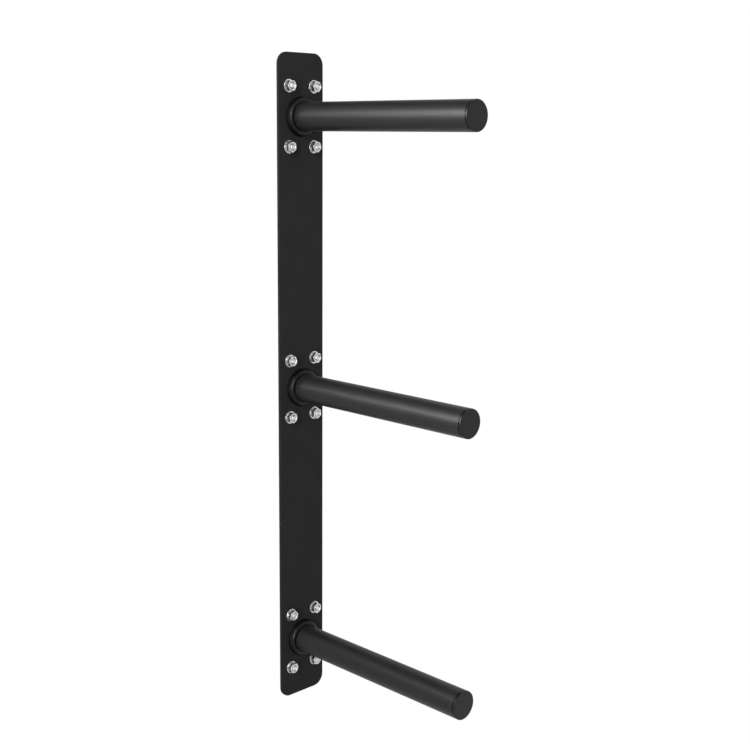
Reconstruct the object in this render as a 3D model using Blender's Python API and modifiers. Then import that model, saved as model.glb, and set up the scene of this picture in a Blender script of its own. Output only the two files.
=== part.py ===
# Wall-mounted rack for weight plates.
#
# A flat steel plate stands against the wall and carries three level pegs, one above the other.
# Each peg is a round tube welded to the plate, with a moulded collar round its foot and a
# moulded cap in its end. Four sleeve anchors round each peg hold the plate to the wall.
#
# Metres, +Z up. The origin is the middle of the plate's back face, where it meets the wall.
# +Y points into the wall, the pegs point along -Y, and left and right are as seen from the front.

import math

import bmesh
import bpy
from mathutils import Matrix

# Wall plate
PLATE_WIDTH = 0.100
PLATE_THICKNESS = 0.005
PLATE_END_MARGIN = 0.105            # from the outer pegs' centres to the ends of the plate
PLATE_CORNER_RADIUS = 0.020
PLATE_EDGE_ROUND = 0.0008

# Pegs
PEG_SPACING = 0.465                 # centre to centre, for plates of 450 mm
PEG_LENGTH = 0.390                  # from the front of the plate to the face of the cap
TUBE_DIAMETER = 0.0483              # goes through the 50 mm hole of a weight plate
TUBE_WALL = 0.003
WELD_LEG = 0.004

# Collar round the foot of a peg
COLLAR_WIDTH = 0.0090               # across the ring, from its bore to its outside
COLLAR_HEIGHT = 0.0105
COLLAR_FOOT = 0.0012                # square part of the side, against the plate
COLLAR_LEAN = math.radians(20)      # from there the side leans in to the front edge
COLLAR_EDGE_ROUND = 0.0050
COLLAR_WELD_ROOM = 0.0006           # between the weld and the recess over it

# Cap in the end of a peg
CAP_FLANGE = 0.0040
CAP_EDGE_ROUND = 0.0010
CAP_STEP = 0.0012                   # cut back all round where the flange meets the tube
CAP_PLUG_LENGTH = 0.022
CAP_PLUG_WALL = 0.0025
CAP_FIN_HEIGHT = 0.0014
CAP_FIN_THICKNESS = 0.0012
CAP_FINS = 2

# Anchors
ANCHOR_SPACING_X = 0.056
ANCHOR_SPACING_Z = 0.100
STUD_DIAMETER = 0.0098
STUD_DEPTH = 0.050                  # how far it runs into the wall
STUD_PROUD = 0.0010                 # of the nut
STUD_CHAMFER = 0.0018
CONE_LENGTH = 0.009
CONE_RIM = 0.002
SLEEVE_WALL = 0.0008
SLIT_WIDTH = 0.0012
SLIT_LENGTH = 0.022
HOLE_CLEARANCE = 0.0010             # all round the sleeve, in the plate
WASHER_DIAMETER = 0.022
WASHER_THICKNESS = 0.002
NUT_ACROSS_FLATS = 0.017
NUT_HEIGHT = 0.008
NUT_CHAMFER_ANGLE = math.radians(30)
NUT_FACE_SHARE = 0.95               # of the width across flats, the round face left by the chamfer
NUT_COUNTERSINK = 0.0012
NUT_BLANK_OVER_CORNER = 1.1         # round bar that the hexagon is cut from, over its corners

# Each nut stopped where it was tight: turn in degrees, clockwise from a level corner,
# top left, top right, bottom left, bottom right
NUT_TURNS = {
    "upper": (0, 8, 25, 12),
    "middle": (2, 14, 20, 28),
    "lower": (45, 32, 10, 16),
}

# Gap that is left between two pieces that touch
SEAT_GAP = 0.0003

# Facets round each kind of turned piece, and round a quarter of a rounded edge
PEG_FACETS = 36
STUD_FACETS = 12
SLEEVE_FACETS = 16
WASHER_FACETS = 20
NUT_FACETS = 18
HOLE_FACETS = 20
CORNER_STEPS = 8
EDGE_STEPS = 3

MERGE = 0.00001
CUTTER_PAST = 0.005                 # how far a cutter runs past what it cuts
SMOOTH_ANGLE = math.radians(35)
SQUARE_EDGE = math.radians(60)      # edges at least this sharp are rounded

# Worked out from the sizes above
PLATE_HEIGHT = 2 * (PEG_SPACING + PLATE_END_MARGIN)
TUBE_RADIUS = TUBE_DIAMETER / 2
TUBE_FOOT = PLATE_THICKNESS + SEAT_GAP
TUBE_END = PLATE_THICKNESS + PEG_LENGTH - CAP_FLANGE - SEAT_GAP
STUD_RADIUS = STUD_DIAMETER / 2
SLEEVE_BORE = STUD_RADIUS + SEAT_GAP
SLEEVE_RADIUS = SLEEVE_BORE + SLEEVE_WALL
WASHER_SEAT = PLATE_THICKNESS + SEAT_GAP
NUT_SEAT = WASHER_SEAT + WASHER_THICKNESS + SEAT_GAP
CONE_TOP = CONE_RIM + CONE_LENGTH - STUD_DEPTH
LEVELS = {"upper": PEG_SPACING, "middle": 0.0, "lower": -PEG_SPACING}


def clear_scene():
    for old in list(bpy.data.objects):
        bpy.data.objects.remove(old, do_unlink=True)


def new_collection(name):
    collection = bpy.data.collections.new(name)
    bpy.context.scene.collection.children.link(collection)
    return collection


def new_material(name, color, roughness, metallic):
    material = bpy.data.materials.new(name)
    material.use_nodes = True
    shader = material.node_tree.nodes["Principled BSDF"]
    shader.inputs["Base Color"].default_value = (*color, 1.0)
    shader.inputs["Roughness"].default_value = roughness
    shader.inputs["Metallic"].default_value = metallic
    return material


def new_object(name, data, collection):
    piece = bpy.data.objects.new(name, data)
    collection.objects.link(piece)
    return piece


def seat(piece, station, material):
    """Put a piece on its station, an empty whose +Z points out of the wall."""
    piece.parent = station
    piece.data.materials.clear()
    piece.data.materials.append(material)
    return piece


def new_station(name, x, z, collection):
    station = bpy.data.objects.new(name, None)
    station.location = (x, 0.0, z)
    station.rotation_euler = (math.radians(90), 0.0, 0.0)
    collection.objects.link(station)
    return station


def evaluated_mesh(piece):
    """The piece's mesh as its modifiers leave it. The piece itself is removed."""
    depsgraph = bpy.context.evaluated_depsgraph_get()
    depsgraph.update()
    mesh = bpy.data.meshes.new_from_object(piece.evaluated_get(depsgraph))
    bpy.data.objects.remove(piece, do_unlink=True)
    return mesh


def as_cutter(piece):
    piece.hide_render = True
    piece.display_type = "WIRE"
    return piece


def cut(piece, other, operation="DIFFERENCE"):
    boolean = piece.modifiers.new(operation.lower(), "BOOLEAN")
    boolean.operation = operation
    boolean.solver = "EXACT"
    boolean.object = other


def smooth(mesh):
    mesh.shade_smooth()
    mesh.set_sharp_from_angle(angle=SMOOTH_ANGLE)


def flats_at(radius, facets):
    """Corner radius of a faceted bore whose flats lie at the radius, so nothing inside it is pinched."""
    return radius / math.cos(math.pi / facets)


def rounded(centre_x, centre_z, radius, steps=EDGE_STEPS, sweep=math.pi / 2):
    """A round from the top of a profile to its outer side, a quarter turn if the side is square."""
    turn = sweep / steps
    return [
        (centre_x + radius * math.sin(i * turn), centre_z + radius * math.cos(i * turn))
        for i in range(steps + 1)
    ]


def turned(name, profile, facets, collection, ring=True):
    """Spin a profile of (radius, distance out of the wall) points about Z.

    A ring's profile closes on itself. Any other starts and ends on the axis.
    """
    mesh = bpy.data.meshes.new(name)
    last = len(profile) if ring else len(profile) - 1
    edges = [(i, (i + 1) % len(profile)) for i in range(last)]
    mesh.from_pydata([(r, 0.0, z) for r, z in profile], edges, [])
    piece = new_object(name, mesh, collection)
    screw = piece.modifiers.new("spin", "SCREW")
    screw.axis = "Z"
    screw.steps = facets
    screw.render_steps = facets
    screw.use_merge_vertices = True
    screw.merge_threshold = MERGE
    finished = evaluated_mesh(piece)
    smooth(finished)
    return new_object(name, finished, collection)


def plate_outline():
    """Corners of the plate, anticlockwise, with each corner as an arc."""
    half_width = PLATE_WIDTH / 2 - PLATE_CORNER_RADIUS
    half_height = PLATE_HEIGHT / 2 - PLATE_CORNER_RADIUS
    centres = [(1, 1), (-1, 1), (-1, -1), (1, -1)]
    points = []
    for quarter, (side_x, side_y) in enumerate(centres):
        for step in range(CORNER_STEPS + 1):
            angle = math.pi / 2 * (quarter + step / CORNER_STEPS)
            points.append((
                side_x * half_width + PLATE_CORNER_RADIUS * math.cos(angle),
                side_y * half_height + PLATE_CORNER_RADIUS * math.sin(angle),
            ))
    return points


def anchor_places():
    """Name, level, x and z of each anchor, in the order of NUT_TURNS."""
    for level, peg_z in LEVELS.items():
        for row, up in (("top", 1), ("bottom", -1)):
            for side, right in (("left", -1), ("right", 1)):
                yield (
                    f"{level}_anchor_{row}_{side}",
                    level,
                    right * ANCHOR_SPACING_X / 2,
                    peg_z + up * ANCHOR_SPACING_Z / 2,
                )


def build_wall_plate(collection, cutters, material):
    """A flat outline made thick, its long edges softened by the coating, with a hole for each anchor."""
    outline = bpy.data.curves.new("wall_plate", "CURVE")
    outline.dimensions = "2D"
    outline.fill_mode = "BOTH"
    outline.extrude = PLATE_THICKNESS / 2
    spline = outline.splines.new("POLY")
    points = plate_outline()
    spline.points.add(len(points) - 1)
    for point, (x, y) in zip(spline.points, points):
        point.co = (x, y, 0.0, 1.0)
    spline.use_cyclic_u = True

    mesh = evaluated_mesh(new_object("wall_plate_outline", outline, cutters))
    shape = bmesh.new()
    shape.from_mesh(mesh)
    bmesh.ops.remove_doubles(shape, verts=shape.verts, dist=MERGE)
    shape.to_mesh(mesh)
    shape.free()
    mesh.transform(Matrix.Translation((0.0, 0.0, PLATE_THICKNESS / 2)))

    plate = new_object("wall_plate", mesh, collection)
    bevel = plate.modifiers.new("coated_edge", "BEVEL")
    bevel.width = PLATE_EDGE_ROUND
    bevel.segments = 2
    bevel.limit_method = "ANGLE"
    bevel.angle_limit = SQUARE_EDGE

    holes = bpy.data.meshes.new("anchor_holes")
    hole_radius = flats_at(SLEEVE_RADIUS + HOLE_CLEARANCE, HOLE_FACETS)
    shape = bmesh.new()
    for _, _, x, z in anchor_places():
        bmesh.ops.create_cone(
            shape,
            cap_ends=True,
            segments=HOLE_FACETS,
            radius1=hole_radius,
            radius2=hole_radius,
            depth=PLATE_THICKNESS + 2 * CUTTER_PAST,
            matrix=Matrix.Translation((x, z, PLATE_THICKNESS / 2)),
        )
    shape.to_mesh(holes)
    shape.free()
    cut(plate, as_cutter(new_object("anchor_holes", holes, cutters)))

    station = new_station("plate_station", 0.0, 0.0, collection)
    seat(plate, station, material)
    bpy.data.objects["anchor_holes"].parent = station


def tube_profile():
    """The weld is one metal with the tube: a fillet round its foot."""
    bore = TUBE_RADIUS - TUBE_WALL
    return [
        (TUBE_RADIUS, TUBE_END),
        (TUBE_RADIUS, TUBE_FOOT + WELD_LEG),
        (TUBE_RADIUS + WELD_LEG, TUBE_FOOT),
        (bore, TUBE_FOOT),
        (bore, TUBE_END),
    ]


def collar_profile():
    """A ring with a leaning side and a rounded front edge, hollowed behind to go over the weld."""
    bore = flats_at(TUBE_RADIUS + SEAT_GAP, PEG_FACETS)
    outside = bore + COLLAR_WIDTH
    back = PLATE_THICKNESS + SEAT_GAP
    front = back + COLLAR_HEIGHT
    recess = WELD_LEG + COLLAR_WELD_ROOM
    edge = COLLAR_EDGE_ROUND
    rise = front - edge - back - COLLAR_FOOT
    centre = outside - (edge + rise * math.sin(COLLAR_LEAN)) / math.cos(COLLAR_LEAN)
    return [
        (bore, front),
        *rounded(centre, front - edge, edge, sweep=math.pi / 2 - COLLAR_LEAN),
        (outside, back + COLLAR_FOOT),
        (outside, back),
        (bore + recess, back),
        (bore, back + recess),
    ]


def cap_profile():
    """A flange as wide as the tube with a step behind it, and a hollow plug with fins that grip."""
    face = PLATE_THICKNESS + PEG_LENGTH
    under = face - CAP_FLANGE
    fin_tip = TUBE_RADIUS - TUBE_WALL - SEAT_GAP
    plug = fin_tip - CAP_FIN_HEIGHT
    hollow = plug - CAP_PLUG_WALL
    plug_end = under - CAP_PLUG_LENGTH
    points = [(0.0, face)]
    points += rounded(TUBE_RADIUS - CAP_EDGE_ROUND, face - CAP_EDGE_ROUND, CAP_EDGE_ROUND)
    points += [
        (TUBE_RADIUS, under + CAP_STEP),
        (TUBE_RADIUS - CAP_STEP, under + CAP_STEP),
        (TUBE_RADIUS - CAP_STEP, under),
        (plug, under),
    ]
    for fin in range(1, CAP_FINS + 1):
        top = under - fin * CAP_PLUG_LENGTH / (CAP_FINS + 1)
        points += [
            (plug, top + CAP_FIN_THICKNESS),
            (fin_tip, top),
            (plug, top - CAP_FIN_THICKNESS),
        ]
    points += [(plug, plug_end), (hollow, plug_end), (hollow, under), (0.0, under)]
    return points


def build_peg(level, collection, coat, collar_material, cap_material):
    station = new_station(f"{level}_peg_station", 0.0, LEVELS[level], collection)
    tube = turned(f"{level}_peg_tube", tube_profile(), PEG_FACETS, collection)
    collar = turned(f"{level}_peg_collar", collar_profile(), PEG_FACETS, collection)
    cap = turned(f"{level}_peg_cap", cap_profile(), PEG_FACETS, collection, ring=False)
    seat(tube, station, coat)
    seat(collar, station, collar_material)
    seat(cap, station, cap_material)


def stud_mesh(cutters):
    """A plain stud that flares at its tail, to spread the sleeve as the nut draws it out."""
    tip = NUT_SEAT + NUT_HEIGHT + STUD_PROUD
    profile = [
        (0.0, tip),
        (STUD_RADIUS - STUD_CHAMFER, tip),
        (STUD_RADIUS, tip - STUD_CHAMFER),
        (STUD_RADIUS, CONE_TOP),
        (SLEEVE_RADIUS, CONE_TOP - CONE_LENGTH),
        (SLEEVE_RADIUS, -STUD_DEPTH),
        (0.0, -STUD_DEPTH),
    ]
    return evaluated_mesh(turned("stud", profile, STUD_FACETS, cutters, ring=False))


def sleeve_mesh(cutters):
    """Rolled from strip, with crossed slits so that its inner end can open."""
    bore = flats_at(SLEEVE_BORE, SLEEVE_FACETS)
    front = PLATE_THICKNESS
    end = CONE_TOP + SEAT_GAP
    profile = [(SLEEVE_RADIUS, front), (SLEEVE_RADIUS, end), (bore, end), (bore, front)]
    sleeve = turned("sleeve", profile, SLEEVE_FACETS, cutters)
    slits = []
    for turn in (0.0, math.pi / 2):
        bpy.ops.mesh.primitive_cube_add(size=1.0)
        slit = bpy.context.active_object
        slit.name = "slit"
        across = 2 * (SLEEVE_RADIUS + CUTTER_PAST)
        slit.data.transform(Matrix.Diagonal((across, SLIT_WIDTH, 2 * SLIT_LENGTH, 1.0)))
        slit.data.transform(Matrix.Rotation(turn, 4, "Z") @ Matrix.Translation((0.0, 0.0, end)))
        cut(sleeve, as_cutter(slit))
        slits.append(slit)
    mesh = evaluated_mesh(sleeve)
    for slit in slits:
        bpy.data.objects.remove(slit, do_unlink=True)
    return mesh


def washer_mesh(cutters):
    back = WASHER_SEAT
    front = back + WASHER_THICKNESS
    bore = flats_at(STUD_RADIUS + SEAT_GAP, WASHER_FACETS)
    outside = WASHER_DIAMETER / 2
    profile = [(bore, front), (outside, front), (outside, back), (bore, back)]
    return evaluated_mesh(turned("washer", profile, WASHER_FACETS, cutters))


def nut_mesh(cutters):
    """A turned blank, chamfered at both ends and countersunk, cut to a hexagon."""
    back = NUT_SEAT
    front = back + NUT_HEIGHT
    bore = flats_at(STUD_RADIUS + SEAT_GAP, NUT_FACETS)
    corner = NUT_ACROSS_FLATS / 2 / math.cos(math.pi / 6)
    blank = NUT_BLANK_OVER_CORNER * corner
    face = NUT_FACE_SHARE * NUT_ACROSS_FLATS / 2
    drop = (blank - face) * math.tan(NUT_CHAMFER_ANGLE)
    profile = [
        (bore, front - NUT_COUNTERSINK),
        (bore + NUT_COUNTERSINK, front),
        (face, front),
        (blank, front - drop),
        (blank, back + drop),
        (face, back),
        (bore, back),
    ]
    nut = turned("nut", profile, NUT_FACETS, cutters)
    bpy.ops.mesh.primitive_cylinder_add(vertices=6, radius=corner, depth=NUT_HEIGHT + 2 * CUTTER_PAST)
    hexagon = bpy.context.active_object
    hexagon.name = "hexagon"
    hexagon.data.transform(
        Matrix.Translation((0.0, 0.0, (back + front) / 2)) @ Matrix.Rotation(math.pi / 6, 4, "Z")
    )
    cut(nut, as_cutter(hexagon), "INTERSECT")
    mesh = evaluated_mesh(nut)
    bpy.data.objects.remove(hexagon, do_unlink=True)
    return mesh


def build_anchors(collection, cutters, zinc):
    shapes = {
        "stud": stud_mesh(cutters),
        "sleeve": sleeve_mesh(cutters),
        "washer": washer_mesh(cutters),
        "nut": nut_mesh(cutters),
    }
    for shape in shapes.values():
        smooth(shape)
    turns = {level: iter(degrees) for level, degrees in NUT_TURNS.items()}
    for name, level, x, z in anchor_places():
        station = new_station(f"{name}_station", x, z, collection)
        for kind, mesh in shapes.items():
            piece = new_object(f"{name}_{kind}", mesh, collection)
            seat(piece, station, zinc)
            if kind == "nut":
                piece.rotation_euler.z = -math.radians(next(turns[level]))


clear_scene()
rack = new_collection("weight_plate_rack")
cutters = new_collection("cutters")

coat = new_material("black_powder_coat", (0.020, 0.020, 0.021), 0.45, 0.0)
collar_material = new_material("black_moulded_collar", (0.018, 0.018, 0.019), 0.50, 0.0)
cap_material = new_material("black_moulded_cap", (0.024, 0.024, 0.025), 0.45, 0.0)
zinc = new_material("zinc_plated_steel", (0.72, 0.73, 0.74), 0.30, 1.0)

build_wall_plate(rack, cutters, coat)
for level in LEVELS:
    build_peg(level, rack, coat, collar_material, cap_material)
build_anchors(rack, cutters, zinc)
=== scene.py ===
# Looks of the wall-mounted rack for weight plates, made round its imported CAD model.
#
# Metres, +Z up. The origin is the middle of the plate's back face. +Y points into the wall, the
# pegs point along -Y, and left and right are as seen from the front.

import math

import bmesh
import bpy
from mathutils import Matrix, Vector


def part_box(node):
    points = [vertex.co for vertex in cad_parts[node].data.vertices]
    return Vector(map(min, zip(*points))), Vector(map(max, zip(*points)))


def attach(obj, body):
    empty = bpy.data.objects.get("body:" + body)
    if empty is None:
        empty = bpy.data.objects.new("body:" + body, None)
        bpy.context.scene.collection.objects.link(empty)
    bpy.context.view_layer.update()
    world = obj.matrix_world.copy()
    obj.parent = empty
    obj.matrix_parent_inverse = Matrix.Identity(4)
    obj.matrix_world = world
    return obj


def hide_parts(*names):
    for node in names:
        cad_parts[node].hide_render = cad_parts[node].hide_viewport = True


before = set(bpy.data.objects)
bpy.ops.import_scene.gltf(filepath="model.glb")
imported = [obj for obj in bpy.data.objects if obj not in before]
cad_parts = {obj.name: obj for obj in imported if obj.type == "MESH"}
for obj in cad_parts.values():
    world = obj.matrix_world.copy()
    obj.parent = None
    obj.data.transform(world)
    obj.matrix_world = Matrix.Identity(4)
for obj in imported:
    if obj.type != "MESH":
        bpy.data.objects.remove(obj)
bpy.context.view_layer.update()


# Wall plate
# Flat 5 mm steel bar with rounded corners and twelve laser-cut holes, powder coated satin black.
# The coat rounds every cut edge and dries with a faint orange peel. It stands flat on the wall.

PLATE_CORNER_RADIUS = 0.020
PLATE_EDGE_ROUND = 0.0008
PLATE_CORNER_STEPS = 24
HOLE_RADIUS = 0.0070
HOLE_FACETS = 64

ANCHOR_SPACING_X = 0.056
ANCHOR_SPACING_Z = 0.100

PEG_HEIGHTS = {
    level: sum(corner.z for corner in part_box(f"{level}_peg_tube")) / 2
    for level in ("upper", "middle", "lower")
}

COAT_BLACK = (0.0150, 0.0150, 0.0154, 1.0)
COAT_ROUGHNESS = 0.70
COAT_SHEEN_LEVEL = 0.10
PEEL_SIZE = 0.0016
PEEL_DEPTH = 0.000030
POWDER_GRAIN_SIZE = 0.00025
POWDER_GRAIN_DEPTH = 0.000004
COAT_CLOUD_SIZE = 0.045
COAT_SCRATCH_LENGTH = 0.030
COAT_SCRATCH_WIDTH = 0.00022
COAT_SCRATCH_DEPTH = 0.000003

# Points of a mesh nearer than this are one point
SAME_PLACE = 0.00001

# Turns a piece made along +Z, so that its +Z points out of the wall
OUT_OF_WALL = Matrix.Rotation(math.radians(90), 4, "X")


def anchor_places():
    """Name, x and z of each anchor: level by level, top row first, left before right."""
    for level, height in PEG_HEIGHTS.items():
        for row, up in (("top", 1), ("bottom", -1)):
            for side, right in (("left", -1), ("right", 1)):
                yield (
                    f"{level}_anchor_{row}_{side}",
                    right * ANCHOR_SPACING_X / 2,
                    height + up * ANCHOR_SPACING_Z / 2,
                )


def add_node(finish, kind, **settings):
    node = finish.node_tree.nodes.new(kind)
    for setting, value in settings.items():
        setattr(node, setting, value)
    return node


def connect(finish, source, target):
    finish.node_tree.links.new(source, target)


def new_finish(name):
    """An empty material, its shader, and a place in metres that differs from piece to piece."""
    finish = bpy.data.materials.new(name)
    finish.use_nodes = True
    shader = finish.node_tree.nodes["Principled BSDF"]
    on_piece = add_node(finish, "ShaderNodeTexCoord").outputs["Object"]
    piece_at = add_node(finish, "ShaderNodeObjectInfo").outputs["Location"]
    place = add_node(finish, "ShaderNodeVectorMath", operation="ADD")
    connect(finish, on_piece, place.inputs[0])
    connect(finish, piece_at, place.inputs[1])
    return finish, shader, place.outputs["Vector"]


def stretched(finish, place, x, y, z):
    """The place scaled on each axis, so that a pattern laid on it gets longer or shorter."""
    mapping = add_node(finish, "ShaderNodeMapping")
    mapping.inputs["Scale"].default_value = (x, y, z)
    connect(finish, place, mapping.inputs["Vector"])
    return mapping.outputs["Vector"]


def clouds(finish, place, size, detail=2.0):
    """A soft random pattern with blotches of about this size."""
    noise = add_node(finish, "ShaderNodeTexNoise")
    noise.inputs["Scale"].default_value = 1.0 / size
    noise.inputs["Detail"].default_value = detail
    connect(finish, place, noise.inputs["Vector"])
    return noise.outputs["Fac"]


def ranged(finish, value, start, end, low, high):
    """The value's stretch from start to end, turned into low to high and held there."""
    span = add_node(finish, "ShaderNodeMapRange")
    sockets = ("From Min", "From Max", "To Min", "To Max")
    for socket, number in zip(sockets, (start, end, low, high)):
        span.inputs[socket].default_value = number
    connect(finish, value, span.inputs["Value"])
    return span.outputs["Result"]


def varied(finish, pattern, low, high):
    """Clouds, which keep near their middle value, turned into low to high."""
    return ranged(finish, pattern, 0.3, 0.7, low, high)


def calculated(finish, operation, first, second):
    maths = add_node(finish, "ShaderNodeMath", operation=operation)
    for socket, value in zip(maths.inputs, (first, second)):
        if isinstance(value, float):
            socket.default_value = value
        else:
            connect(finish, value, socket)
    return maths.outputs["Value"]


def tinted(finish, shader, colour, amount):
    """The base colour, darker and lighter by a share that follows amount."""
    tint = add_node(finish, "ShaderNodeMix", data_type="RGBA", blend_type="MULTIPLY")
    tint.inputs[0].default_value = 1.0
    tint.inputs[6].default_value = colour
    connect(finish, amount, tint.inputs[7])
    connect(finish, tint.outputs[2], shader.inputs["Base Color"])


def bumped(finish, height, depth, under=None):
    """A bump whose height goes from nothing to depth, in metres, on top of another bump."""
    bump = add_node(finish, "ShaderNodeBump")
    bump.inputs["Strength"].default_value = 1.0
    bump.inputs["Distance"].default_value = depth
    connect(finish, height, bump.inputs["Height"])
    if under is not None:
        connect(finish, under, bump.inputs["Normal"])
    return bump.outputs["Normal"]


def hairlines(finish, place, length, width, share):
    """Fine scratches along Z: 1 in a scratch and 0 outside, gathered where things have rubbed."""
    drawn_out = stretched(finish, place, 1.0, 1.0, width / length)
    lines = clouds(finish, drawn_out, width, detail=0.0)
    patches = clouds(finish, place, length * 1.5, detail=1.0)
    fine = ranged(finish, lines, 0.80 - share, 0.84 - share, 0.0, 1.0)
    rubbed = ranged(finish, patches, 0.50, 0.62, 0.0, 1.0)
    return calculated(finish, "MULTIPLY", fine, rubbed)


def powder_coat(name, colour, roughness, sheen_level):
    """Baked powder: orange peel, a fine grain on it, faint cloudiness and a few rubbed hairlines."""
    finish, shader, place = new_finish(name)
    peel = clouds(finish, place, PEEL_SIZE, detail=1.0)
    grain = clouds(finish, place, POWDER_GRAIN_SIZE, detail=1.0)
    cloudy = clouds(finish, place, COAT_CLOUD_SIZE, detail=3.0)
    scratch = hairlines(finish, place, COAT_SCRATCH_LENGTH, COAT_SCRATCH_WIDTH, 0.06)

    tinted(finish, shader, colour, varied(finish, cloudy, 0.90, 1.10))
    dull = varied(finish, cloudy, roughness - 0.025, roughness + 0.025)
    speckle = varied(finish, grain, -0.03, 0.03)
    worn = calculated(finish, "MULTIPLY", scratch, -0.10)
    rough = calculated(finish, "ADD", calculated(finish, "ADD", dull, speckle), worn)
    connect(finish, rough, shader.inputs["Roughness"])
    shader.inputs["Specular IOR Level"].default_value = sheen_level

    shape = bumped(finish, peel, PEEL_DEPTH)
    shape = bumped(finish, grain, POWDER_GRAIN_DEPTH, shape)
    groove = calculated(finish, "MULTIPLY", scratch, -1.0)
    shape = bumped(finish, groove, COAT_SCRATCH_DEPTH, shape)
    connect(finish, shape, shader.inputs["Normal"])
    return finish


def finished_piece(name, mesh, finish, slot, *nodes, x=0.0, z=0.0, turn=0.0):
    """A piece made along +Z, set on the wall at x and z, standing for its CAD node."""
    piece = bpy.data.objects.new(name, mesh)
    bpy.context.scene.collection.objects.link(piece)
    spin = Matrix.Rotation(-turn, 4, "Z")
    piece.matrix_world = Matrix.Translation((x, 0.0, z)) @ OUT_OF_WALL @ spin
    if not mesh.materials:
        mesh.materials.append(finish)
    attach(piece, "root")
    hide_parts(*nodes)
    return piece


def even_shading(piece):
    """Flat faces stay flat to the eye, and only the rounded edges between them shade round."""
    normals = piece.modifiers.new("even_shading", "WEIGHTED_NORMAL")
    normals.weight = 100
    normals.keep_sharp = True


def closed_line(curve, points):
    """One closed outline of a flat curve: the edge of the plate, or of a hole in it."""
    line = curve.splines.new("POLY")
    line.points.add(len(points) - 1)
    for point, (x, y) in zip(line.points, points):
        point.co = (x, y, 0.0, 1.0)
    line.use_cyclic_u = True


def plate_outline(half_width, half_height):
    """The plate's edge, anticlockwise, with each corner as an arc."""
    points = []
    for quarter, (side, up) in enumerate(((1, 1), (-1, 1), (-1, -1), (1, -1))):
        for step in range(PLATE_CORNER_STEPS + 1):
            angle = math.pi / 2 * (quarter + step / PLATE_CORNER_STEPS)
            points.append((
                side * (half_width - PLATE_CORNER_RADIUS) + PLATE_CORNER_RADIUS * math.cos(angle),
                up * (half_height - PLATE_CORNER_RADIUS) + PLATE_CORNER_RADIUS * math.sin(angle),
            ))
    return points


def hole_outline(x, z):
    turns = [2 * math.pi * step / HOLE_FACETS for step in range(HOLE_FACETS)]
    return [(x + HOLE_RADIUS * math.cos(a), z + HOLE_RADIUS * math.sin(a)) for a in turns]


def plate_mesh(low, high):
    """Outline and holes cut together from the bar, both their edges rounded by the coat."""
    thickness = high.y - low.y
    cut = bpy.data.curves.new("plate_cut", "CURVE")
    cut.dimensions = "2D"
    cut.fill_mode = "BOTH"
    cut.extrude = thickness / 2 - PLATE_EDGE_ROUND
    cut.bevel_depth = PLATE_EDGE_ROUND
    cut.bevel_resolution = 3
    cut.offset = -PLATE_EDGE_ROUND
    closed_line(cut, plate_outline(high.x, high.z))
    for _, x, z in anchor_places():
        closed_line(cut, hole_outline(x, z))
    pattern = bpy.data.objects.new("plate_cut", cut)
    bpy.context.scene.collection.objects.link(pattern)
    depsgraph = bpy.context.evaluated_depsgraph_get()
    mesh = bpy.data.meshes.new_from_object(pattern.evaluated_get(depsgraph))
    bpy.data.objects.remove(pattern)
    mesh.transform(Matrix.Translation((0.0, 0.0, thickness / 2)))
    shape = bmesh.new()
    shape.from_mesh(mesh)
    bmesh.ops.remove_doubles(shape, verts=shape.verts, dist=SAME_PLACE)
    bmesh.ops.recalc_face_normals(shape, faces=shape.faces)
    shape.to_mesh(mesh)
    shape.free()
    mesh.materials.clear()
    mesh.shade_smooth()
    return mesh


plate_coat = powder_coat("plate_powder_coat", COAT_BLACK, COAT_ROUGHNESS, COAT_SHEEN_LEVEL)
plate_steel = plate_mesh(*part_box("wall_plate"))
wall_plate = finished_piece(
    "coated_wall_plate", plate_steel, plate_coat, "powder_coat_plate", "wall_plate"
)
even_shading(wall_plate)


# Peg tubes
# Steel tube of 48.3 mm that goes through the 50 mm hole of a weight plate, butted on the wall
# plate and welded all round. The weld's ripples are coated over with the rest, in satin black.

TUBE_WALL = 0.003
TUBE_END_CHAMFER = 0.0002
TUBE_FACETS = 256
WELD_LEG = 0.004
WELD_RIPPLES = 64
WELD_RIPPLE_DEPTH = 0.00035

# The hollow face of the weld: distances from the tube and from the plate, as shares of its leg
WELD_FACE = ((0.12, 0.68), (0.35, 0.35), (0.68, 0.12))

# Degrees at which faces of a turned piece have to meet to keep a sharp edge between them
TURNED_SHARP_ANGLE = 35

PEG_BLACK = (0.0085, 0.0086, 0.0090, 1.0)
PEG_ROUGHNESS = 0.45
PEG_SHEEN_LEVEL = 0.23


def smoothed(mesh, sharp_angle):
    """Smooth shading, except across edges that are sharper than this many degrees."""
    mesh.shade_smooth()
    mesh.set_sharp_from_angle(angle=math.radians(sharp_angle))
    return mesh


def turned(name, profile, facets, ring=True):
    """Spin a profile of (radius, distance out of the wall) points about Z.

    A ring's profile closes on itself. Any other starts and ends on the axis.
    """
    shape = bmesh.new()
    rounds = []
    for radius, out in profile:
        if radius == 0.0:
            rounds.append([shape.verts.new((0.0, 0.0, out))] * facets)
            continue
        turns = [2 * math.pi * step / facets for step in range(facets)]
        rounds.append([
            shape.verts.new((radius * math.cos(a), radius * math.sin(a), out)) for a in turns
        ])
    pairs = list(zip(rounds, rounds[1:]))
    if ring:
        pairs.append((rounds[-1], rounds[0]))
    for upper, lower in pairs:
        for step in range(facets):
            after = step - facets + 1
            corners = (upper[step], lower[step], lower[after], upper[after])
            shape.faces.new(dict.fromkeys(corners))
    bmesh.ops.recalc_face_normals(shape, faces=shape.faces)
    mesh = bpy.data.meshes.new(name)
    shape.to_mesh(mesh)
    shape.free()
    return smoothed(mesh, TURNED_SHARP_ANGLE)


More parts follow.
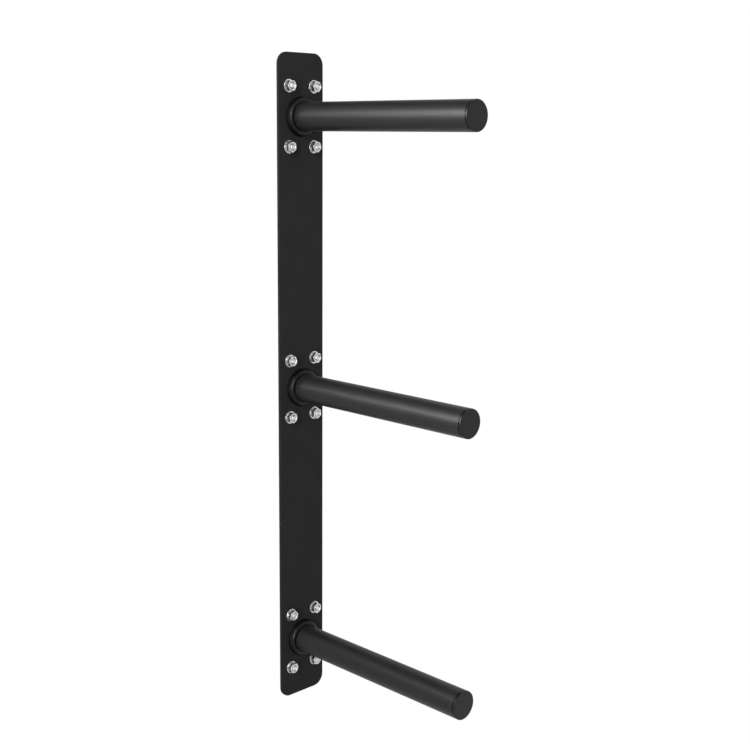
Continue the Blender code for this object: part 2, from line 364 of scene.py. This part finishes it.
def tube_mesh(foot, end, radius):
    """The tube with its weld, and the ripples pressed into the weld, deepest at its toe."""
    bore = radius - TUBE_WALL
    mesh = turned("peg_tube", [
        (radius - TUBE_END_CHAMFER, end),
        (radius, end - TUBE_END_CHAMFER),
        (radius, foot + WELD_LEG),
        *[(radius + out * WELD_LEG, foot + up * WELD_LEG) for out, up in WELD_FACE],
        (radius + WELD_LEG, foot),
        (bore, foot),
        (bore, end - TUBE_END_CHAMFER),
        (bore + TUBE_END_CHAMFER, end),
    ], TUBE_FACETS)
    for corner in mesh.vertices:
        out_by = math.hypot(corner.co.x, corner.co.y) - radius
        if out_by > SAME_PLACE:
            wave = abs(math.sin(math.atan2(corner.co.y, corner.co.x) * WELD_RIPPLES / 2))
            ripple = WELD_RIPPLE_DEPTH * wave * out_by / WELD_LEG
            shrink = 1 - ripple / (radius + out_by)
            corner.co.x *= shrink
            corner.co.y *= shrink
    return mesh


tube_low, tube_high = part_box("upper_peg_tube")
TUBE_FOOT = -tube_high.y
TUBE_END = -tube_low.y
TUBE_RADIUS = -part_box("upper_peg_cap")[0].x
peg_coat = powder_coat("peg_powder_coat", PEG_BLACK, PEG_ROUGHNESS, PEG_SHEEN_LEVEL)
peg_tube = tube_mesh(TUBE_FOOT, TUBE_END, TUBE_RADIUS)
for level, height in PEG_HEIGHTS.items():
    finished_piece(
        f"{level}_coated_tube", peg_tube, peg_coat, "powder_coat_peg", f"{level}_peg_tube", z=height
    )


# Peg collars
# Moulded black ring pushed over the foot of each tube, against the wall plate, so that it hides
# the weld. Its side stands square on the plate for a millimetre and then leans in to a well
# rounded front edge, and its back is hollowed to clear the weld.

COLLAR_FOOT = 0.0012
COLLAR_LEAN = 20
COLLAR_EDGE_ROUND = 0.0050
COLLAR_LIP_ROUND = 0.0005
COLLAR_BACK_CHAMFER = 0.0002
COLLAR_WELD_RECESS = 0.0046
PEG_FACETS = 128
EDGE_STEPS = 8

# Gap that is left between two pieces that touch
SEAT_GAP = 0.0003

COLLAR_BLACK = (0.0030, 0.0030, 0.0032, 1.0)
COLLAR_ROUGHNESS = 0.24
COLLAR_SHEEN_LEVEL = 0.18
MOULD_GRAIN_SIZE = 0.00035
MOULD_GRAIN_DEPTH = 0.000010
MOULD_FLOW_SIZE = 0.018
MOULD_SCRATCH_LENGTH = 0.012
MOULD_SCRATCH_WIDTH = 0.00018


def rounded(centre_radius, centre_out, radius, start, end, steps=EDGE_STEPS):
    """An arc of a profile. Degrees: 0 points outwards from the axis, and 90 out of the wall."""
    angles = [math.radians(start + (end - start) * step / steps) for step in range(steps + 1)]
    return [
        (centre_radius + radius * math.cos(a), centre_out + radius * math.sin(a)) for a in angles
    ]


def moulded_plastic(name, colour, roughness, sheen_level):
    """Black plastic from a spark-eroded mould: an even fine grain, and almost no scratches."""
    finish, shader, place = new_finish(name)
    grain = clouds(finish, place, MOULD_GRAIN_SIZE, detail=2.0)
    flow = clouds(finish, place, MOULD_FLOW_SIZE, detail=2.0)
    scratch = hairlines(finish, place, MOULD_SCRATCH_LENGTH, MOULD_SCRATCH_WIDTH, 0.04)
    tinted(finish, shader, colour, varied(finish, flow, 0.94, 1.06))
    dull = varied(finish, flow, roughness - 0.02, roughness + 0.02)
    worn = calculated(finish, "MULTIPLY", scratch, 0.08)
    connect(finish, calculated(finish, "ADD", dull, worn), shader.inputs["Roughness"])
    shader.inputs["Specular IOR Level"].default_value = sheen_level
    connect(finish, bumped(finish, grain, MOULD_GRAIN_DEPTH), shader.inputs["Normal"])
    return finish


def collar_mesh(low, high):
    """Round the ring from its lip: front edge, leaning side, square foot, and recess behind."""
    bore = TUBE_RADIUS + SEAT_GAP
    outside = high.x
    back = -high.y
    front = -low.y
    lip = COLLAR_LIP_ROUND
    edge = COLLAR_EDGE_ROUND
    lean = math.radians(COLLAR_LEAN)
    rise = front - edge - back - COLLAR_FOOT
    centre = outside - (edge + rise * math.sin(lean)) / math.cos(lean)
    return turned("peg_collar", [
        *rounded(bore + lip, front - lip, lip, 180, 90),
        *rounded(centre, front - edge, edge, 90, COLLAR_LEAN),
        (outside, back + COLLAR_FOOT),
        (outside, back + COLLAR_BACK_CHAMFER),
        (outside - COLLAR_BACK_CHAMFER, back),
        (bore + COLLAR_WELD_RECESS, back),
        (bore, back + COLLAR_WELD_RECESS),
    ], PEG_FACETS)


collar_plastic = moulded_plastic(
    "collar_plastic", COLLAR_BLACK, COLLAR_ROUGHNESS, COLLAR_SHEEN_LEVEL
)
peg_collar = collar_mesh(*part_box("middle_peg_collar"))
for level, height in PEG_HEIGHTS.items():
    collar = finished_piece(
        f"{level}_moulded_collar", peg_collar, collar_plastic, "collar", f"{level}_peg_collar",
        z=height,
    )
    even_shading(collar)


# Peg caps
# Moulded black cap driven into the end of each tube. Its flange is as wide as the tube, with a
# rounded front edge and a fine step behind, and two fins round its hollow plug grip the bore.

CAP_FLANGE = 0.0040
CAP_EDGE_ROUND = 0.0010
CAP_STEP = 0.0012
CAP_PLUG_WALL = 0.0025
CAP_PLUG_CHAMFER = 0.0003
CAP_FINS = 2
CAP_FIN_HEIGHT = 0.0014
CAP_FIN_HALF_FOOT = 0.0012
CAP_FIN_HALF_TIP = 0.0001

CAP_BLACK = (0.0040, 0.0040, 0.0042, 1.0)
CAP_ROUGHNESS = 0.32
CAP_SHEEN_LEVEL = 0.23


def cap_mesh(low, high):
    """From the middle of the face over the flange, down the finned plug, and up its hollow."""
    face = -low.y
    under = face - CAP_FLANGE
    plug_end = -high.y
    fin_tip = TUBE_RADIUS - TUBE_WALL - SEAT_GAP
    plug = fin_tip - CAP_FIN_HEIGHT
    hollow = plug - CAP_PLUG_WALL
    edge = CAP_EDGE_ROUND
    profile = [
        (0.0, face),
        (TUBE_RADIUS - 2 * edge, face),
        *rounded(TUBE_RADIUS - edge, face - edge, edge, 90, 0),
        (TUBE_RADIUS, under + CAP_STEP),
        (TUBE_RADIUS - CAP_STEP, under + CAP_STEP),
        (TUBE_RADIUS - CAP_STEP, under),
        (plug, under),
    ]
    for fin in range(1, CAP_FINS + 1):
        middle = under - fin * (under - plug_end) / (CAP_FINS + 1)
        profile += [
            (plug, middle + CAP_FIN_HALF_FOOT),
            (fin_tip, middle + CAP_FIN_HALF_TIP),
            (fin_tip, middle - CAP_FIN_HALF_TIP),
            (plug, middle - CAP_FIN_HALF_FOOT),
        ]
    profile += [
        (plug, plug_end + CAP_PLUG_CHAMFER),
        (plug - CAP_PLUG_CHAMFER, plug_end),
        (hollow, plug_end),
        (hollow, under),
        (0.0, under),
    ]
    return turned("peg_cap", profile, PEG_FACETS, ring=False)


cap_plastic = moulded_plastic("cap_plastic", CAP_BLACK, CAP_ROUGHNESS, CAP_SHEEN_LEVEL)
peg_cap = cap_mesh(*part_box("middle_peg_cap"))
for level, height in PEG_HEIGHTS.items():
    cap = finished_piece(
        f"{level}_moulded_cap", peg_cap, cap_plastic, "cap", f"{level}_peg_cap", z=height
    )
    even_shading(cap)


# Anchor studs
# Steel stud of M10 with a rolled thread under the nut, a plain shank in the sleeve, and a cone at
# the tail that spreads the sleeve in the wall. Zinc plated, with the end of the thread chamfered.

STUD_RADIUS = 0.0049
STUD_CHAMFER = 0.0018
STUD_TAIL_CHAMFER = 0.0003
STUD_FACETS = 64
STUD_SHARP_ANGLE = 25
CONE_LENGTH = 0.009
CONE_RIM = 0.002

THREAD_PITCH = 0.0015
THREAD_DEPTH = 0.00092
THREAD_LENGTH = 0.026
THREAD_RUNOUT = 0.0006
THREAD_FACETS = 48

# One turn of thread along the bar: share of the pitch, and share of the depth below the crest
THREAD_FORM = ((0.00, 0.0), (0.125, 0.0), (0.44, 1.0), (0.685, 1.0))

# Edges shorter than this, which cutting leaves behind, are closed up
SLIVER = 0.000002

ZINC = (0.64, 0.64, 0.645, 1.0)
ZINC_CLOUD_SIZE = 0.005
ZINC_SCRATCH_LENGTH = 0.006
ZINC_SCRATCH_WIDTH = 0.00012
ZINC_SCRATCH_DEPTH = 0.000004

# Degrees clockwise from a level corner at which each nut stopped, in the order of the anchors.
# Its stud is turned with it, so that the two threads stay in each other.
NUT_TURNS = (0, 8, 25, 12, 2, 14, 20, 28, 45, 32, 10, 16)


def zinc_plate(name, colour, roughness, mark_size, mark_depth):
    """Bright zinc over bare steel: dents from the barrel, faint clouding and fine scratches."""
    finish, shader, place = new_finish(name)
    marks = clouds(finish, place, mark_size, detail=3.0)
    fog = clouds(finish, place, ZINC_CLOUD_SIZE, detail=4.0)
    scratch = hairlines(finish, place, ZINC_SCRATCH_LENGTH, ZINC_SCRATCH_WIDTH, 0.10)
    tinted(finish, shader, colour, varied(finish, fog, 0.84, 1.04))
    dull = varied(finish, fog, roughness + 0.08, roughness - 0.04)
    worn = calculated(finish, "MULTIPLY", scratch, 0.12)
    connect(finish, calculated(finish, "ADD", dull, worn), shader.inputs["Roughness"])
    shader.inputs["Metallic"].default_value = 1.0
    shape = bumped(finish, marks, mark_depth)
    groove = calculated(finish, "MULTIPLY", scratch, -1.0)
    shape = bumped(finish, groove, ZINC_SCRATCH_DEPTH, shape)
    connect(finish, shape, shader.inputs["Normal"])
    return finish


def threaded_bar(name, crest, bottom, top):
    """A closed bar with a helical thread, cut square at both ends."""
    rows = len(THREAD_FORM)
    first = math.floor(bottom / THREAD_PITCH) - 2
    last = math.ceil(top / THREAD_PITCH) + 1
    shape = bmesh.new()
    columns = []
    for column in range(THREAD_FACETS):
        angle = 2 * math.pi * column / THREAD_FACETS
        line = []
        for turn in range(first, last):
            for along, below in THREAD_FORM:
                radius = crest - below * THREAD_DEPTH
                line.append(shape.verts.new((
                    radius * math.cos(angle),
                    radius * math.sin(angle),
                    THREAD_PITCH * (turn + along + column / THREAD_FACETS),
                )))
        columns.append(line)
    for column in range(THREAD_FACETS):
        here = columns[column]
        closing = column == THREAD_FACETS - 1
        there = columns[0][rows:] if closing else columns[column + 1]
        for row in range(min(len(here), len(there)) - 1):
            shape.faces.new((here[row], there[row], there[row + 1], here[row + 1]))
    for end, outwards in ((top, 1.0), (bottom, -1.0)):
        cut = bmesh.ops.bisect_plane(
            shape,
            geom=[*shape.verts, *shape.edges, *shape.faces],
            plane_co=(0.0, 0.0, end),
            plane_no=(0.0, 0.0, outwards),
            clear_outer=True,
        )
        rim = [part for part in cut["geom_cut"] if isinstance(part, bmesh.types.BMEdge)]
        bmesh.ops.edgeloop_fill(shape, edges=rim)
    bmesh.ops.recalc_face_normals(shape, faces=shape.faces)
    mesh = bpy.data.meshes.new(name)
    shape.to_mesh(mesh)
    shape.free()
    return mesh


def shaped(mesh, operation, *others):
    """The mesh after each of the others is joined to it or cut from it."""
    piece = bpy.data.objects.new(mesh.name, mesh)
    bpy.context.scene.collection.objects.link(piece)
    tools = []
    for other in others:
        tool = bpy.data.objects.new(other.name, other)
        bpy.context.scene.collection.objects.link(tool)
        tools.append(tool)
        step = piece.modifiers.new(other.name, "BOOLEAN")
        step.operation = operation
        step.solver = "EXACT"
        step.object = tool
    depsgraph = bpy.context.evaluated_depsgraph_get()
    result = bpy.data.meshes.new_from_object(piece.evaluated_get(depsgraph))
    result.name = mesh.name
    for spent in (piece, *tools):
        bpy.data.objects.remove(spent)
    shape = bmesh.new()
    shape.from_mesh(result)
    bmesh.ops.triangulate(shape, faces=[face for face in shape.faces if len(face.verts) > 4])
    bmesh.ops.dissolve_degenerate(shape, dist=SLIVER, edges=shape.edges)
    shape.to_mesh(result)
    shape.free()
    return result


stud_low, stud_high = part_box("middle_anchor_top_left_stud")
STUD_TIP = -stud_low.y
STUD_TAIL = -stud_high.y
CONE_RADIUS = (stud_high.x - stud_low.x) / 2
THREAD_END = STUD_TIP - THREAD_LENGTH


def anchor_stud_mesh():
    """The thread, tapered off at its end, on the plain shank with its cone."""
    thread = threaded_bar("anchor_stud", STUD_RADIUS, THREAD_END, STUD_TIP)
    for corner in thread.vertices:
        radius = math.hypot(corner.co.x, corner.co.y)
        limit = STUD_RADIUS - max(0.0, corner.co.z - (STUD_TIP - STUD_CHAMFER))
        if radius > limit:
            corner.co.x *= limit / radius
            corner.co.y *= limit / radius
    shank = turned("shank", [
        (0.0, THREAD_END + THREAD_RUNOUT),
        (STUD_RADIUS - THREAD_DEPTH, THREAD_END + THREAD_RUNOUT),
        (STUD_RADIUS, THREAD_END - THREAD_RUNOUT),
        (STUD_RADIUS, STUD_TAIL + CONE_RIM + CONE_LENGTH),
        (CONE_RADIUS, STUD_TAIL + CONE_RIM),
        (CONE_RADIUS, STUD_TAIL + STUD_TAIL_CHAMFER),
        (CONE_RADIUS - STUD_TAIL_CHAMFER, STUD_TAIL),
        (0.0, STUD_TAIL),
    ], STUD_FACETS, ring=False)
    return smoothed(shaped(thread, "UNION", shank), STUD_SHARP_ANGLE)


stud_zinc = zinc_plate(
    "stud_zinc", ZINC, roughness=0.30, mark_size=0.0006, mark_depth=0.000012
)
anchor_stud = anchor_stud_mesh()
for (name, x, z), turn in zip(anchor_places(), NUT_TURNS):
    finished_piece(
        f"{name}_threaded_stud", anchor_stud, stud_zinc, "zinc_anchor", f"{name}_stud",
        x=x, z=z, turn=math.radians(turn),
    )


# Anchor sleeves
# Steel strip rolled round the stud with an open seam down one side, and four slits from its inner
# end, so that the cone can spread it. It goes through the plate's hole into the wall. Zinc plated.

SLEEVE_WALL = 0.0008
SLEEVE_EDGE_ROUND = 0.00012
SEAM_WIDTH = 0.0005
SLIT_WIDTH = 0.0012
SLIT_LENGTH = 0.022
SLITS = 4
STRIP_STEPS = 8
SLEEVE_SHARP_ANGLE = 50

# Each sleeve went in turned a little further than the one before, in radians
SLEEVE_TURN_STEP = 0.7


def applied(mesh, name, *modifiers):
    """The mesh as it is left by modifiers, each given as its kind and its settings."""
    piece = bpy.data.objects.new(name, mesh)
    bpy.context.scene.collection.objects.link(piece)
    for kind, settings in modifiers:
        modifier = piece.modifiers.new(kind.lower(), kind)
        for setting, value in settings.items():
            setattr(modifier, setting, value)
    depsgraph = bpy.context.evaluated_depsgraph_get()
    result = bpy.data.meshes.new_from_object(piece.evaluated_get(depsgraph))
    result.name = name
    bpy.data.objects.remove(piece)
    return result


def softened(width, sharp_angle):
    """A bevel that takes this width off the edges that are sharper than this many degrees."""
    return "BEVEL", {
        "width": width,
        "segments": 2,
        "limit_method": "ANGLE",
        "angle_limit": math.radians(sharp_angle),
    }


def strip_steps(start, end):
    """The angles that divide a stretch of the strip, without its start."""
    return [start + (end - start) * step / STRIP_STEPS for step in range(1, STRIP_STEPS + 1)]


def sleeve_mesh(low, high):
    """The rolled strip as one layer of faces, open at the seam and the slits, then made thick."""
    radius = (high.x - low.x - SLEEVE_WALL) / 2
    half_seam = SEAM_WIDTH / radius / 2
    half_slit = SLIT_WIDTH / radius / 2
    quarter = 2 * math.pi / SLITS
    angles = [quarter / 2 + half_seam]
    slits = set()
    for slit in range(1, SLITS + 1):
        edge = slit * quarter - half_slit
        angles += strip_steps(angles[-1], edge)
        slits.add(len(angles) - 1)
        angles.append(edge + 2 * half_slit)
    angles += strip_steps(angles[-1], 2 * math.pi + quarter / 2 - half_seam)

    front, inner_end = -low.y, -high.y
    shape = bmesh.new()
    columns = [
        [
            shape.verts.new((radius * math.cos(angle), radius * math.sin(angle), out))
            for out in (front, inner_end + SLIT_LENGTH, inner_end)
        ]
        for angle in angles
    ]
    for index, (here, there) in enumerate(zip(columns, columns[1:])):
        for row in range(1 if index in slits else 2):
            shape.faces.new((here[row], here[row + 1], there[row + 1], there[row]))
    strip = bpy.data.meshes.new("anchor_sleeve")
    shape.to_mesh(strip)
    shape.free()
    thick = {"thickness": SLEEVE_WALL, "offset": 0.0, "use_even_offset": True}
    edge = softened(SLEEVE_EDGE_ROUND, SLEEVE_SHARP_ANGLE)
    mesh = applied(strip, "anchor_sleeve", ("SOLIDIFY", thick), edge)
    return smoothed(mesh, SLEEVE_SHARP_ANGLE)


sleeve_zinc = zinc_plate(
    "sleeve_zinc", ZINC, roughness=0.36, mark_size=0.0008, mark_depth=0.000010
)
anchor_sleeve = sleeve_mesh(*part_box("middle_anchor_top_left_sleeve"))
sleeve_turn = 0.0
for name, x, z in anchor_places():
    sleeve_turn += SLEEVE_TURN_STEP
    sleeve = finished_piece(
        f"{name}_rolled_sleeve", anchor_sleeve, sleeve_zinc, "zinc_anchor", f"{name}_sleeve",
        x=x, z=z, turn=sleeve_turn,
    )
    even_shading(sleeve)


# Anchor washers
# Flat steel washer of M10 on each hole, stamped from sheet, so that its front edges are rolled
# over and its back edges are nearly square. Zinc plated bright.

WASHER_BORE = 0.0052
WASHER_ROLL = 0.0004
WASHER_BACK_CHAMFER = 0.0001
WASHER_FACETS = 96
WASHER_ROLL_STEPS = 4


def washer_mesh(low, high):
    """Round the ring from its bore: rolled front edges, and back edges almost square."""
    front, back = -low.y, -high.y
    outside = (high.x - low.x) / 2
    roll = WASHER_ROLL
    return turned("anchor_washer", [
        *rounded(WASHER_BORE + roll, front - roll, roll, 180, 90, WASHER_ROLL_STEPS),
        *rounded(outside - roll, front - roll, roll, 90, 0, WASHER_ROLL_STEPS),
        (outside, back + WASHER_BACK_CHAMFER),
        (outside - WASHER_BACK_CHAMFER, back),
        (WASHER_BORE + WASHER_BACK_CHAMFER, back),
        (WASHER_BORE, back + WASHER_BACK_CHAMFER),
    ], WASHER_FACETS)


washer_zinc = zinc_plate(
    "washer_zinc", ZINC, roughness=0.26, mark_size=0.0012, mark_depth=0.000014
)
anchor_washer = washer_mesh(*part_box("middle_anchor_top_left_washer"))
for name, x, z in anchor_places():
    washer = finished_piece(
        f"{name}_stamped_washer", anchor_washer, washer_zinc, "zinc_fastener", f"{name}_washer",
        x=x, z=z,
    )
    even_shading(washer)


# Anchor nuts
# Hexagon nut of M10, 17 mm across flats and 8 mm high, chamfered at both ends and countersunk,
# with its thread on the stud's. Zinc plated bright. Each was tightened to its own angle.

NUT_ACROSS_FLATS = 0.017
NUT_CHAMFER_ANGLE = 30
NUT_FACE_SHARE = 0.95
NUT_CORNER_ROUND = 0.0004
NUT_EDGE_ROUND = 0.00012
NUT_BEVEL_ANGLE = 25
NUT_SHARP_ANGLE = 28
NUT_COUNTERSINK = 0.0065
NUT_THREAD_PLAY = 0.00012
FLAT_STEPS = 10
CORNER_STEPS = 4

# How far a cutter runs past what it cuts
CUTTER_PAST = 0.001


def hexagon():
    """The nut's outline, anticlockwise from a corner at angle 0, with its corners rounded."""
    half_side = math.pi / 6
    middle = NUT_ACROSS_FLATS / 2 / math.cos(half_side) - NUT_CORNER_ROUND / math.cos(half_side)
    points = []
    for side in range(6):
        corner = math.pi / 3 * side
        for step in range(CORNER_STEPS + 1):
            angle = corner + math.pi / 3 * (step / CORNER_STEPS - 0.5)
            points.append((
                middle * math.cos(corner) + NUT_CORNER_ROUND * math.cos(angle),
                middle * math.sin(corner) + NUT_CORNER_ROUND * math.sin(angle),
            ))
        ahead = math.pi / 3 * (side + 1)
        start = points[-1]
        end = (
            middle * math.cos(ahead) + NUT_CORNER_ROUND * math.cos(ahead - half_side),
            middle * math.sin(ahead) + NUT_CORNER_ROUND * math.sin(ahead - half_side),
        )
        for step in range(1, FLAT_STEPS):
            share = step / FLAT_STEPS
            points.append(tuple(a + (b - a) * share for a, b in zip(start, end)))
    return points


def nut_mesh(low, high):
    """A solid hexagon with a cone taken off both ends, then countersunk and threaded."""
    front, back = -low.y, -high.y
    face = NUT_FACE_SHARE * NUT_ACROSS_FLATS / 2
    slope = math.tan(math.radians(NUT_CHAMFER_ANGLE))
    shape = bmesh.new()
    rounds = [[], [], [], []]
    for x, y in hexagon():
        reach = math.hypot(x, y)
        drop = (reach - face) * slope
        heights = (
            (face / reach, front), (1.0, front - drop), (1.0, back + drop), (face / reach, back)
        )
        for ring, (share, out) in zip(rounds, heights):
            ring.append(shape.verts.new((x * share, y * share, out)))
    for upper, lower in zip(rounds, rounds[1:]):
        for step in range(len(upper)):
            shape.faces.new((upper[step - 1], lower[step - 1], lower[step], upper[step]))
    shape.faces.new(rounds[0])
    shape.faces.new(rounds[-1])
    bmesh.ops.recalc_face_normals(shape, faces=shape.faces)
    solid = bpy.data.meshes.new("anchor_nut")
    shape.to_mesh(solid)
    shape.free()
    blank = applied(solid, "anchor_nut", softened(NUT_EDGE_ROUND, NUT_BEVEL_ANGLE))

    past = CUTTER_PAST
    bore = threaded_bar("nut_thread", STUD_RADIUS + NUT_THREAD_PLAY, back - past, front + past)
    sink = NUT_COUNTERSINK
    countersinks = turned("nut_countersinks", [
        (0.0, front + past),
        (sink + past, front + past),
        (STUD_RADIUS - THREAD_DEPTH, front + STUD_RADIUS - THREAD_DEPTH - sink),
        (STUD_RADIUS - THREAD_DEPTH, back - STUD_RADIUS + THREAD_DEPTH + sink),
        (sink + past, back - past),
        (0.0, back - past),
    ], STUD_FACETS, ring=False)
    return smoothed(shaped(blank, "DIFFERENCE", bore, countersinks), NUT_SHARP_ANGLE)


nut_zinc = zinc_plate("nut_zinc", ZINC, roughness=0.24, mark_size=0.0010, mark_depth=0.000012)
anchor_nut = nut_mesh(*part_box("middle_anchor_top_left_nut"))
for (name, x, z), turn in zip(anchor_places(), NUT_TURNS):
    nut = finished_piece(
        f"{name}_threaded_nut", anchor_nut, nut_zinc, "zinc_fastener", f"{name}_nut",
        x=x, z=z, turn=math.radians(turn),
    )
    even_shading(nut)


# Camera
# Where the photograph was taken from: to the left of the rack, a little above its middle peg, with
# its lens fitted to the measured edges of the plate and the pegs.

CAMERA_PLACE = (-1.4265, -1.6117, 0.4344)

# In radians: round the upright, then down, then round the line of sight
CAMERA_YAW = -0.7859
CAMERA_PITCH = -0.1897
CAMERA_ROLL = 0.0087

# In millimetres, on Blender's sensor of 36 mm
CAMERA_LENS = 59.80

camera_data = bpy.data.cameras.new("photo_camera")
camera_data.lens = CAMERA_LENS
camera = bpy.data.objects.new("photo_camera", camera_data)
camera.matrix_world = (
    Matrix.Translation(CAMERA_PLACE)
    @ Matrix.Rotation(CAMERA_YAW, 4, "Z")
    @ Matrix.Rotation(math.pi / 2 + CAMERA_PITCH, 4, "X")
    @ Matrix.Rotation(CAMERA_ROLL, 4, "Z")
)
bpy.context.scene.collection.objects.link(camera)
bpy.context.scene.camera = camera


# Studio
# White surroundings, a pale floor below the photograph's view, and a white wall card that is seen
# only from the front, so that it hides what is inside the wall and the rack can also be looked at
# from behind. A black flag high up behind the wall's plane darkens the tops of the pegs.

STUDIO_REACH = 12.0
FLOOR_HEIGHT = -1.4
FLOOR_GREY = (0.60, 0.60, 0.60, 1.0)
FLOOR_LIFT = 0.58
CARD_BEHIND = 0.0006
FLAG_HEIGHT = 2.0
FLAG_LEFT = -0.46
FLAG_RIGHT = 1.02
FLAG_NEAR = 0.30
FLAG_FAR = 3.50
FLAG_BLACK = (0.01, 0.01, 0.01, 1.0)
AMBIENT = 0.60


def flat_sheet(name, corners, material):
    """A thin sheet of the studio, which isn't part of the rack."""
    mesh = bpy.data.meshes.new(name)
    mesh.from_pydata(corners, [], [(0, 1, 2, 3)])
    mesh.materials.append(material)
    sheet = bpy.data.objects.new(name, mesh)
    bpy.context.scene.collection.objects.link(sheet)
    return sheet


def level_corners(left, right, near, far, height):
    """The corners of a level rectangle, in order round it."""
    return [(left, near, height), (right, near, height), (right, far, height), (left, far, height)]


def empty_shader(name):
    """A material with nothing in it yet."""
    material = bpy.data.materials.new(name)
    material.use_nodes = True
    material.node_tree.nodes.clear()
    return material


def white_wall_card():
    """White to a camera in front of it, and not there for anything else."""
    card = empty_shader("white_wall_card")
    seen = add_node(card, "ShaderNodeLightPath").outputs["Is Camera Ray"]
    behind = add_node(card, "ShaderNodeNewGeometry").outputs["Backfacing"]
    facing = calculated(card, "SUBTRACT", seen, behind)
    clear = add_node(card, "ShaderNodeBsdfTransparent").outputs[0]
    white = add_node(card, "ShaderNodeEmission").outputs[0]
    mix = add_node(card, "ShaderNodeMixShader")
    connect(card, calculated(card, "MAXIMUM", facing, 0.0), mix.inputs[0])
    connect(card, clear, mix.inputs[1])
    connect(card, white, mix.inputs[2])
    connect(card, mix.outputs[0], add_node(card, "ShaderNodeOutputMaterial").inputs["Surface"])
    return card


def background_rays(finish):
    """1 for rays that show the background: from the camera, off a gloss, or through glass."""
    rays = add_node(finish, "ShaderNodeLightPath").outputs
    shown = calculated(finish, "MAXIMUM", rays["Is Camera Ray"], rays["Is Glossy Ray"])
    return calculated(finish, "MAXIMUM", shown, rays["Is Transmission Ray"])


def pale_floor():
    """Pale matt floor that keeps the rack's shadow, lifted to white where nothing shades it."""
    floor = empty_shader("pale_floor")
    matt = add_node(floor, "ShaderNodeBsdfDiffuse")
    matt.inputs["Color"].default_value = FLOOR_GREY
    lift = add_node(floor, "ShaderNodeEmission")
    lifted = calculated(floor, "MULTIPLY", background_rays(floor), FLOOR_LIFT)
    connect(floor, lifted, lift.inputs["Strength"])
    both = add_node(floor, "ShaderNodeAddShader")
    connect(floor, matt.outputs[0], both.inputs[0])
    connect(floor, lift.outputs[0], both.inputs[1])
    connect(floor, both.outputs[0], add_node(floor, "ShaderNodeOutputMaterial").inputs["Surface"])
    return floor


def black_cloth():
    """Matt black cloth of the flag that keeps light off the tops of the pegs."""
    cloth = empty_shader("black_cloth")
    matt = add_node(cloth, "ShaderNodeBsdfDiffuse")
    matt.inputs["Color"].default_value = FLAG_BLACK
    connect(cloth, matt.outputs[0], add_node(cloth, "ShaderNodeOutputMaterial").inputs["Surface"])
    return cloth


reach = STUDIO_REACH
flat_sheet("floor", level_corners(-reach, reach, -reach, reach, FLOOR_HEIGHT), pale_floor())
flat_sheet("wall_card", [
    (-reach, CARD_BEHIND, FLOOR_HEIGHT), (reach, CARD_BEHIND, FLOOR_HEIGHT),
    (reach, CARD_BEHIND, reach), (-reach, CARD_BEHIND, reach),
], white_wall_card())

flag_corners = level_corners(FLAG_LEFT, FLAG_RIGHT, FLAG_NEAR, FLAG_FAR, FLAG_HEIGHT)
black_flag = flat_sheet("black_flag", flag_corners, black_cloth())
black_flag.visible_camera = False

world = bpy.data.worlds.new("white_studio")
world.use_nodes = True
bpy.context.scene.world = world
surround = world.node_tree.nodes["Background"]
shown = background_rays(world)
lit = calculated(world, "MULTIPLY", shown, 1.0 - AMBIENT)
connect(world, calculated(world, "ADD", lit, AMBIENT), surround.inputs["Strength"])
surround.inputs["Color"].default_value = (1.0, 1.0, 1.0, 1.0)


# Lamps
# A softbox to the left, set back past the wall's plane, draws the long highlight on the pegs. A
# wide, weak one above and in front opens the shadows, and a tall narrow one at the front left
# draws the bright arcs on the collars.


def softbox(name, place, aim, width, height, watts, spread):
    """A lamp with a flat lit face of this size, whose light keeps within spread degrees."""
    lamp = bpy.data.lights.new(name, "AREA")
    lamp.shape = "RECTANGLE"
    lamp.size = width
    lamp.size_y = height
    lamp.energy = watts
    lamp.spread = math.radians(spread)
    box = bpy.data.objects.new(name, lamp)
    box.location = place
    box.rotation_euler = (Vector(aim) - Vector(place)).to_track_quat("-Z", "Y").to_euler()
    box.visible_camera = False
    bpy.context.scene.collection.objects.link(box)


softbox(
    "highlight_softbox", place=(-1.12, 0.62, 0.68), aim=(-0.37, -0.76, 0.29),
    width=0.7, height=0.84, watts=8.4, spread=53,
)
softbox(
    "front_softbox", place=(-1.9, -1.9, 0.9), aim=(0.0, -0.2, 0.0),
    width=1.6, height=1.6, watts=8.0, spread=180,
)
softbox(
    "foot_softbox", place=(-1.25, -0.66, 0.70), aim=(0.0, 0.0, 0.35),
    width=0.25, height=2.6, watts=10.5, spread=84,
)

bpy.context.scene.view_settings.view_transform = "Standard"
